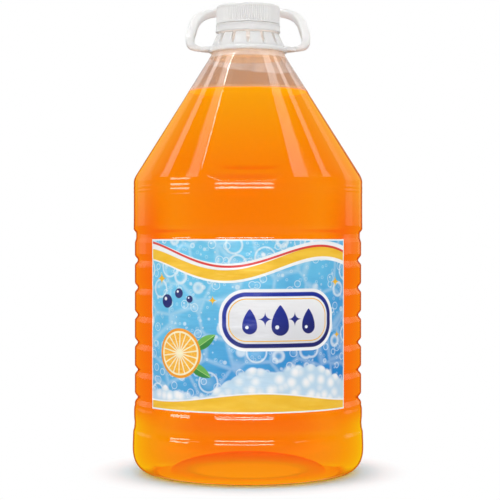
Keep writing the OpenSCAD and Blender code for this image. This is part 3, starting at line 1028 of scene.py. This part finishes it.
def strap_route(looks, steps):
    """Stations of the loop from the right ear round the back to the left one, on a cubic curve whose slope
    at each point is that from the one before to the one after: x, y and height over the ears, as shares
    of the side, the reach and the rise, then the share of the face's width, and its lean in degrees."""
    shares = np.array([
        [0.524, 0, 0, 0.44, 90],
        [0.707, 0, 0.002, 0.46, 90],
        [0.864, 0, 0.016, 0.6, 90],
        [0.974, 0.01, 0.079, 0.88, 80],
        [1, 0.07, 0.219, 1, 54],
        [0.979, 0.239, 0.396, 1, 32],
        [0.94, 0.478, 0.618, 1, 25],
        [0.843, 0.716, 0.804, 1, 22],
        [0.66, 0.896, 0.923, 1, 20],
        [0.353, 0.982, 0.98, 1, 20],
        [0, 1, 0.991, 1, 20],
    ])
    right = shares * np.array([looks.side, looks.reach, looks.rise, looks.face, MM]) / MM
    route = np.vstack([right, right[-2::-1] * np.array([-1, 1, 1, 1, 1])])
    u = np.linspace(0, 1, steps, endpoint=False)[:, None]
    out = []
    for a, b, c, d in zip(route[:-3], route[1:-2], route[2:-1], route[3:]):
        square, cube = 2 * a - 5 * b + 4 * c - d, 3 * b - a - 3 * c + d
        out.append(0.5 * (2 * b + (c - a) * u + square * u ** 2 + cube * u ** 3))
    return np.vstack([*out, route[-2:-1]])


def swept(stations, thickness, edge, middle_z):
    """A rounded rectangle, face width by thickness, carried along the stations; its face keeps the lean
    given: across is the cross product of the face's normal (0, -sin lean, cos lean) and the way on."""
    place = stations[:, :3] + np.array([0, 0, middle_z])
    along = np.gradient(place, axis=0)
    along /= np.linalg.norm(along, axis=1)[:, None]
    lean = np.radians(stations[:, 4])
    face = np.stack([np.zeros_like(lean), -np.sin(lean), np.cos(lean)], axis=1)
    across = np.cross(face, along)
    across /= np.linalg.norm(across, axis=1)[:, None]
    rings = []
    for middle, side, out, width in zip(place, across, np.cross(along, across), stations[:, 3]):
        outline = rounded_box(width / 2, thickness / 2, edge)
        rings.append(middle + outline[:, :1] * side + outline[:, 1:] * out)
    return np.stack(rings)


class BOTTLE_OT_handle(Operator):
    """Builds the carrying handle: the ring plate with its ears, the slotted crown and the loop"""

    bl_idname = "bottle.handle"
    bl_label = "Carrying handle"

    def execute(self, context):
        looks = context.scene.handle_looks
        strap = swept(strap_route(looks, 10), looks.thick / MM, 1.4, EAR_Z + EAR_T / 2)
        parts = [patch(strap, caps=(True, True)), self.plate(), self.collar(), self.ear(1), self.ear(-1)]
        geometry = joined(parts + self.fingers(looks.slots))
        material = plastic_paint("handle_plastic", looks.colour, 0.4, 0.7)
        add_piece("carrying_handle", geometry, "handle", "handle", material, 50)
        return {"FINISHED"}

    def plate(self):
        """Ring plate: a disc with rounded edges and a bore, a cone on the shoulder and plain above."""
        low, top, bore = SEAT_Z, PLATE_TOP, CROWN_BORE_R
        outside = [[24.6, low], [25.1, low], [25.65, low + 0.12], [25.92, low + 0.45], [PLATE_R, low + 0.8]]
        outside += [[PLATE_R, top - 0.8], [25.92, top - 0.45], [25.65, top - 0.12], [25.0, top]]
        inside = [[22.9, top], [22.74, top - 0.1], [bore, top - 0.3], [bore, low + 1.4]]
        inside += [[23.54, low + 0.06], [23.7, low]]
        return patch(turned(np.array(outside + inside), full_turn(256)), wrap_rows=True)

    def ear(self, side):
        """One ear, on the right for side 1 and on the left for -1: a wedge that narrows from the plate
        outwards. Its rows are the outline drawn in by the inset of each level, which rounds the edges, and
        kept out of the crown's bore."""
        corners = [[31.4, -2.7], [31.4, 2.7], [24.6, 8.65], [18.9, 8.0], [18.9, -8.0], [24.6, -8.65]]
        outline = section_outline(corners, 1.2, 4)
        middle = np.array([25.0, 0.0])
        reach = np.linalg.norm(outline - middle, axis=1)[:, None]
        low = [(0.9, 0), (0.3, 0.08), (0.05, 0.4), (0, 0.8)]
        high = [(inset, EAR_T - rise) for inset, rise in reversed(low)]
        rows = []
        for inset, rise in low + high:
            flat = middle + (outline - middle) * (1 - inset / reach)
            near = np.hypot(flat[:, 0], flat[:, 1])
            flat = flat * (np.maximum(near, CROWN_BORE_R + 0.05) / near)[:, None]
            rows.append(np.column_stack([side * flat, np.full(len(flat), EAR_Z + rise)]))
        return patch(np.stack(rows), caps=(True, True))

    def collar(self):
        """The crown's unbroken foot: a short upright ring between the plate and the slots' floors, with a
        small fillet on the plate."""
        corners = [
            [CROWN_BORE_R, PLATE_TOP - 0.5], [25.0, PLATE_TOP - 0.3], [24.4, PLATE_TOP + 0.25],
            [CROWN_R, PLATE_TOP + 0.7], [CROWN_R, SLOT_Z - 0.2], [23.9, SLOT_Z + 0.35],
            [22.3, SLOT_Z + 0.35],
        ]
        return patch(turned(section_outline(corners, 0.25, 3), full_turn(256)), wrap_rows=True, flip=True)

    def fingers(self, count):
        """Each finger is the crown's section, with its hook, over an arc that ends at the slots. Near the
        floor its sides flare, so that a slot ends in half an ellipse, and its end faces are drawn in to
        round them."""
        floor, top = SLOT_Z, CROWN_TOP
        corners = [
            [CROWN_BORE_R, floor - 0.6], [CROWN_R, floor - 0.6], [CROWN_R, floor - 0.2], [20.4, top - 0.3],
            [20.1, top], [18.85, top], [18.35, top - 0.4], [18.9, top - 1.0], [CROWN_BORE_R, floor - 0.2],
        ]
        outline = spaced(section_outline(corners, 0.3, 3), 0.55, closed=True)
        r, z = outline[:, :1], outline[:, 1:]
        rise = np.clip(z - floor, 0, SLOT_END)
        slot_half = SLOT_SPREAD * np.sqrt(np.maximum(SLOT_END ** 2 - (SLOT_END - rise) ** 2, 0))
        reach = np.pi / count - slot_half / r
        u = np.concatenate([[-1, -0.985, -0.95], np.linspace(-0.85, 0.85, 9), [0.95, 0.985, 1]])
        drawn_in = np.where(np.abs(u) > 0.99, 0.14, 0.0)
        radius = r + drawn_in * np.clip(r.mean() - r, -1, 1)
        made = []
        for n in range(count):
            angle = -np.pi / 2 + TURN * (n + 0.5) / count + u * reach
            made.append(patch(ring_grid(radius, z, angle).transpose(1, 0, 2), caps=(True, True), flip=True))
        return made


# Label


class LabelPrint(Paint):
    """Generic print. Each motif is a distance or a wave in the label's own millimetres, u across from its
    middle and v up from its foot, and covers what is there by its share."""

    def __init__(self, looks):
        super().__init__(bpy.data.materials.new("printed_film"))
        across, up, _ = self.parts(self.node("ShaderNodeUVMap", {"uv_map": "UVMap"}).outputs[0])
        self.u = across * LABEL_ARC - LABEL_ARC / 2
        self.v = up * LABEL_H
        self.flat = self.vector(self.u, self.v, 0.0)
        self.drift = self.noise(self.flat, 0.035, 3.0, 0.5, 0.4)
        self.sky, self.water = tuple(looks.sky), tuple(looks.water)
        self.gold, self.navy = tuple(looks.gold), tuple(looks.navy)
        sheen = self.noise(self.vector(self.u, self.v * 4.0, 0.0), 0.05)
        self.gilt = self.mix(sheen.step(0.3, 0.7), self.gold, (1.0, 0.62, 0.05))
        self.colour = self.water

    def cover(self, share, colour):
        """Lays a colour over what is there."""
        self.colour = self.mix(share, self.colour, colour)

    def away(self, cu, cv):
        """Distance from a point of the label."""
        return length(self.u - cu, self.v - cv)

    def box(self, cu, cv, half_u, half_v, corner):
        """Distance to a rectangle with round corners, negative inside."""
        du = abs(self.u - cu) - (half_u - corner)
        dv = abs(self.v - cv) - (half_v - corner)
        return length(du.most(0.0), dv.most(0.0)) + du.most(dv).least(0.0) - corner

    def star(self, cu, cv, size):
        """Four thin points: root |u| + root |v| less root size, negative inside."""
        return abs(self.u - cu).root() + abs(self.v - cv).root() - size ** 0.5

    def drop(self, cu, cv, size):
        """Half a disc below and a pointed arch above, negative inside. The arch is 2.4 sizes high, and k of
        the way up its half width is size (1 - k^2)."""
        rise = ((self.v - cv) / (2.4 * size)).most(0.0)
        wide = abs(self.u - cu) / (1.0 - rise * rise).most(0.02)
        return length(wide, (self.v - cv).least(0.0)) - size + (rise - 0.96).most(0.0) * 900.0

    def add_water(self):
        """Deep blue to sky blue, with drift and a web of light lines."""
        depth = self.v * 0.0075 - self.u * 0.0035 + self.drift * 0.55 - 0.12
        self.cover(depth.step(0.0, 1.0), self.sky)
        web = self.cells(self.flat, 0.055, "DISTANCE_TO_EDGE")
        self.cover(web.step(0.10, 0.0) * 0.28, (0.85, 0.95, 1.0))

    def add_bubbles(self):
        """Bubbles of three sizes, one to a random cell: a glow in the middle, a bright rim and a glint."""
        sizes = ((0.060, 0.42, 0.0, 0.9), (0.13, 0.36, 7.3, 0.75), (0.26, 0.3, 3.1, 0.6))
        for scale, size, shift, strength in sizes:
            u, v = self.u + shift, self.v - shift
            away = self.cells(self.vector(u, v, 0.0), scale, randomness=0.85)
            disc = away.step(size, size - 0.03)
            rim = away.band(size - 0.07, size - 0.01, 0.025)
            self.cover(disc * away.step(size * 0.9, 0.0) * 0.25 * strength, (0.75, 0.92, 1.0))
            self.cover(rim * strength * 0.7, (0.93, 0.98, 1.0))
            aside = self.vector(u + 1.2 / scale * 0.06, v - 1.6 / scale * 0.06, 0.0)
            glint = self.cells(aside, scale, randomness=0.85).step(size * 0.28, size * 0.12)
            self.cover(glint * disc * 0.85 * strength, WHITE)

    def add_foam(self):
        """White lather heaped in hills, on a gold ground with a white edge."""
        wide, small = (self.u * 0.055 + 0.6).sine(), (self.u * 0.13 + 2.0).sine()
        hill = 24.0 + wide * 6.5 + small * 2.6 + self.u * 0.09
        lather = self.cells(self.flat, 0.16)
        puff = self.v + lather * 5.0 + (self.drift - 0.5) * 6.0
        shade = self.mix(lather.step(0.1, 0.75), (0.97, 0.99, 1.0), (0.55, 0.75, 0.9))
        self.cover((hill - puff).step(-0.6, 1.2), shade)
        ground = self.v - 8.5 - (self.u * 0.045 + 1.2).sine() * 3.2
        self.cover(ground.step(1.0, 0.7), PAPER)
        self.cover(ground.step(0.2, -0.1), self.gilt)

    def add_wave(self):
        """A white wave near the top, with a gold band and a red line in it."""
        over = self.v - (92.0 + (self.u * 0.05 - 0.9).sine() * 7.0)
        self.cover(over.band(-5.4, 6.4, 0.25), PAPER)
        self.cover((over - self.u * 0.012).band(-3.8, 2.6, 0.2), self.gilt)
        self.cover((over + self.u * 0.02).band(3.6, 5.0, 0.15), (0.75, 0.05, 0.04))

    def add_plaque(self):
        """A long plaque with round ends: navy rim, pale field, gold line, and three drops and two stars.
        Four more stars, in gold, lie about it."""
        plaque = self.box(20.0, 57.0, 36.0, 17.0, 15.0)
        fade = self.mix((self.v - self.u * 0.3).step(35.0, 65.0), self.navy, (0.012, 0.03, 0.34))
        field = self.mix(self.v.step(40.0, 74.0), (0.74, 0.75, 0.78), (0.93, 0.93, 0.94))
        self.cover(plaque.step(2.2, 1.8), PAPER)
        self.cover(plaque.step(0.2, -0.2), fade)
        self.cover((plaque + 2.6).step(0.2, -0.2), field)
        self.cover(abs(plaque + 4.1).step(0.4, 0.2), self.gold)
        for cu, size in ((1.0, 4.6), (20.0, 5.6), (39.0, 4.6)):
            self.cover(self.drop(cu, 53.0, size).step(0.15, -0.15), fade)
            glint = self.away(cu - 0.36 * size, 52.6) - 0.22 * size
            self.cover(glint.step(0.15, -0.15), (0.9, 0.95, 1.0))
        stars = [(10.5, 57.5, 5.0, fade), (29.5, 57.5, 5.0, fade)]
        stars += [(-60.0, 82.0, 4.5, self.gold), (-22.0, 69.0, 3.4, self.gold)]
        stars += [(61.0, 80.0, 4.0, self.gold), (62.5, 47.0, 3.0, self.gold)]
        for cu, cv, size, tone in stars:
            self.cover(self.star(cu, cv, size).step(0.06, -0.06), tone)

    def add_citrus(self):
        """A slice with rind, pith and nine wedges of pulp, and two leaves beside it."""
        cu, cv = -45.0, 36.0
        away = self.away(cu, cv)
        angle = self.math("ARCTAN2", self.v - cv, self.u - cu)
        ray = abs((angle * 9.0 / TURN + 0.3).rest(1.0) - 0.5)
        pulp = self.noise(self.flat, 0.9, 3.0, 0.6)
        flesh = self.mix(pulp.step(0.35, 0.7), (0.98, 0.42, 0.02), (1.0, 0.62, 0.08))
        self.cover(away.step(15.6, 15.2), (0.93, 0.36, 0.01))
        self.cover(away.step(13.9, 13.5), (1.0, 0.9, 0.62))
        wedge = away.band(1.6, 12.6, 0.25) * (ray * away - 0.55).step(-0.2, 0.25)
        self.cover(wedge * ((0.5 - ray) * away).step(0.3, 0.75), flesh)
        beside = away.step(14.8, 15.4)
        for cu, cv, turn in ((-27.5, 43.0, 0.6), (-31.0, 26.0, -0.5)):
            along = (self.u - cu) * math.cos(turn) + (self.v - cv) * math.sin(turn)
            off = (self.v - cv) * math.cos(turn) - (self.u - cu) * math.sin(turn)
            leaf = abs(off) - 3.4 * (1.0 - (along / 9.0) ** 2.0)
            green = self.mix(off.step(-0.6, 0.6), (0.05, 0.30, 0.06), (0.16, 0.50, 0.10))
            self.cover(leaf.step(0.15, -0.15) * beside, green)
            vein = (abs(off) - 0.12).step(0.12, 0.0) * leaf.step(0.0, -0.5)
            self.cover(vein * beside, (0.45, 0.72, 0.25))

    def add_berries(self):
        """Three navy berries with a glint each."""
        for cu, cv, size in ((-55.0, 68.0, 4.2), (-45.5, 73.0, 3.0), (-37.5, 69.5, 2.2)):
            self.cover(self.away(cu, cv).step(size + 0.2, size - 0.2), self.navy)
            glint = self.away(cu - size * 0.3, cv + size * 0.35)
            self.cover(glint.step(size * 0.32, size * 0.2), (0.95, 0.97, 1.0))

    def film(self):
        """The finished material: a pale border, slight creases, and a plain back with light of its own."""
        border = (abs(self.u) - LABEL_ARC / 2 + 0.9).most(abs(self.v - LABEL_H / 2) - LABEL_H / 2 + 0.9)
        self.cover(border.step(-0.15, 0.15), (0.93, 0.95, 0.96))
        front = self.value_of("printed").step(0.4, 0.6)
        crease = self.noise(self.vector(self.u, self.v * 3.0, 0.0), 0.06)
        fine = self.noise(self.flat, 2.5)
        surface = self.shader(
            base_color=self.mix(front, (0.88, 0.89, 0.88), self.colour),
            roughness=0.3 + (crease - 0.5) * 0.1,
            coat_weight=0.15,
            coat_roughness=0.15,
            emission_color=self.mix(front, (0.34, 0.30, 0.2), BLACK),
            emission_strength=1.0,
            normal=self.bump(crease * 6.0 + fine * 0.05, 0.0003, 0.35),
        )
        return self.show(surface)


def label_paint(looks):
    """The print's motifs in the order in which they cover each other."""
    printed = LabelPrint(looks)
    printed.add_water()
    printed.add_bubbles()
    printed.add_foam()
    printed.add_wave()
    printed.add_plaque()
    printed.add_citrus()
    printed.add_berries()
    return printed.film()


class BOTTLE_OT_label(Operator):
    """Builds the printed film label as a thin closed sheet round the front of the ribbed panel"""

    bl_idname = "bottle.label"
    bl_label = "Printed label"

    def execute(self, context):
        rows, columns = 84, 109
        u = np.linspace(0, 1, columns)
        v = np.linspace(0, 1, rows)[:, None]
        angle = -np.pi / 2 + np.radians(LABEL_HALF) * (2 * u - 1)
        z = LABEL_Z + LABEL_H * v
        radius = LABEL_R - 0.1 * grooves(z, GROOVE_HALF + 1)
        sides = [ring_grid(radius + off, z, angle).reshape(-1, 3) for off in (0.08, -0.06)]
        cells = quads(rows, columns, False)
        count = rows * columns
        low, left = np.arange(columns), np.arange(rows) * columns
        high, right = low + (rows - 1) * columns, left + columns - 1
        edges = []
        for line, turn in ((low, 1), (high, -1), (left, -1), (right, 1)):
            strip = np.stack([line[:-1], line[:-1] + count, line[1:] + count, line[1:]], axis=-1)
            edges.append(strip[:, ::turn])
        faces = np.concatenate([cells, cells[:, ::-1] + count, *edges]).tolist()
        grid = np.stack(np.broadcast_arrays(u, v), axis=-1).reshape(-1, 2)
        add_piece(
            "film_label", (np.concatenate(sides), faces), "bottle", "front_label",
            label_paint(context.scene.label_looks), 50,
            uv=np.vstack([grid, grid]), values={"printed": np.arange(2 * count) < count},
        )
        return {"FINISHED"}


# Stage


def lamp(name, place, aim, size, power):
    """A rectangular lamp at place, facing aim, both in metres; the gloss doesn't see it."""
    data = bpy.data.lights.new(name, "AREA")
    data.shape = "RECTANGLE"
    data.size, data.size_y = size
    data.energy = power
    made = in_scene(name, data)
    made.visible_glossy = False
    made.location = place
    way = np.array(aim, float) - np.array(place, float)
    flat = math.hypot(way[0], way[1])
    made.rotation_euler = (math.atan2(flat, -way[2]), 0, math.atan2(way[1], way[0]) - math.pi / 2)


class BOTTLE_OT_stage(Operator):
    """Sets the pale floor, the white surroundings, the soft studio lamps and the camera"""

    bl_idname = "bottle.stage"
    bl_label = "Stage"

    def execute(self, context):
        self.floor()
        self.world(context.scene)
        for values in LAMPS:
            lamp(*values)
        self.camera(context.scene)
        context.scene.view_settings.view_transform = "Standard"
        return {"FINISHED"}

    def floor(self):
        """A disc whose middle is plain pale paint, lit like the object, and which turns into the white of
        the surroundings farther out, so that no horizon shows. The paint's blue cast offsets the liquid's
        orange light."""
        u = np.linspace(0, 1, 30)[:, None]
        disc = patch(ring_grid(1 + 8000 * u ** 3, -0.05, full_turn(96)), caps=(True, False))
        paint = material_paint("pale_floor")
        x, y, _ = paint.place()
        outer = length(x, y).step(64.0, 108.0)
        tone = paint.mix(outer, (0.42, 0.88, 1.0), (0.93, 0.93, 0.93))
        matte = paint.shader(base_color=tone, roughness=0.6)
        seen, clear, gloss = paint.rays()
        strength = 1.0 - gloss * (1.0 - clear) * 0.93
        bright = paint.node("ShaderNodeEmission", inputs={"Color": WHITE, "Strength": strength}).outputs[0]
        share = (seen * outer).most(clear).most(gloss)
        mesh = mesh_of("pale_floor", disc)
        mesh.materials.append(paint.show(paint.blend(share, matte, bright)))
        in_scene("pale_floor", mesh)

    def world(self, scene):
        """Soft boxes as the gloss sees them, white to the camera and through clear pieces, and an even fill
        for the rest. A box is placed by the side angle of the wall that mirrors it to the camera,
        atan2(x, 1 - y) in degrees for a direction (x, y, z), and by its height z."""
        paint = Paint(bpy.data.worlds.new("studio"), "ShaderNodeOutputWorld")
        seen, clear, gloss = paint.rays()
        x, y, z = paint.parts(paint.node("ShaderNodeTexCoord").outputs["Generated"])
        side = paint.math("ARCTAN2", x, 1 - y) * (360 / TURN)
        mirrored = y.step(0.1, 0.75) * y.step(0.98, 0.85) * 0.3
        for start, end, low, high, light in BOXES:
            mirrored = mirrored + side.band(start, end, 0.7) * z.band(low, high, 0.02) * light
        level = 0.45 + (mirrored - 0.45) * gloss
        level = level + (1.0 - level) * seen.most(clear)
        shade = paint.node("ShaderNodeBackground", inputs={"Color": WHITE, "Strength": level})
        scene.world = paint.show(shade.outputs[0])

    def camera(self, scene):
        """Level camera with the lens and the small shift of the photograph's frame."""
        data = bpy.data.cameras.new("view")
        data.sensor_width = 36
        data.lens = data.sensor_width * FOCAL_LENGTH / FRAME_WIDTH
        data.shift_x, data.shift_y = (shift / FRAME_WIDTH for shift in FRAME_SHIFT)
        data.clip_start = 0.05
        made = in_scene("view", data)
        made.location = CAMERA_PLACE
        made.rotation_euler = (math.pi / 2, 0, 0)
        scene.camera = made


class BOTTLE_PT_panel(Panel):
    """Lists the steps in the sidebar"""

    bl_label = "Soap bottle"
    bl_idname = "BOTTLE_PT_panel"
    bl_space_type = "VIEW_3D"
    bl_region_type = "UI"
    bl_category = "Bottle"

    def draw(self, context):
        scene = context.scene
        for group in (scene.bottle_looks, scene.handle_looks, scene.label_looks):
            box = self.layout.box()
            for key in group.__annotations__:
                box.prop(group, key)
        for step in STEPS:
            self.layout.operator(step.bl_idname)


STEPS = (
    BOTTLE_OT_stage, BOTTLE_OT_shell, BOTTLE_OT_soap,
    BOTTLE_OT_label, BOTTLE_OT_closure, BOTTLE_OT_handle,
)
CLASSES = (BottleLooks, HandleLooks, LabelLooks, *STEPS, BOTTLE_PT_panel)


def register():
    for cls in CLASSES:
        bpy.utils.register_class(cls)
    bpy.types.Scene.bottle_looks = PointerProperty(type=BottleLooks)
    bpy.types.Scene.handle_looks = PointerProperty(type=HandleLooks)
    bpy.types.Scene.label_looks = PointerProperty(type=LabelLooks)


def unregister():
    del bpy.types.Scene.bottle_looks
    del bpy.types.Scene.handle_looks
    del bpy.types.Scene.label_looks
    for cls in reversed(CLASSES):
        bpy.utils.unregister_class(cls)


def main():
    register()
    bpy.ops.bottle.stage()
    bpy.ops.bottle.shell()
    bpy.ops.bottle.soap()
    bpy.ops.bottle.label()
    bpy.ops.bottle.closure()
    bpy.ops.bottle.handle()


if __name__ == "__main__":
    main()
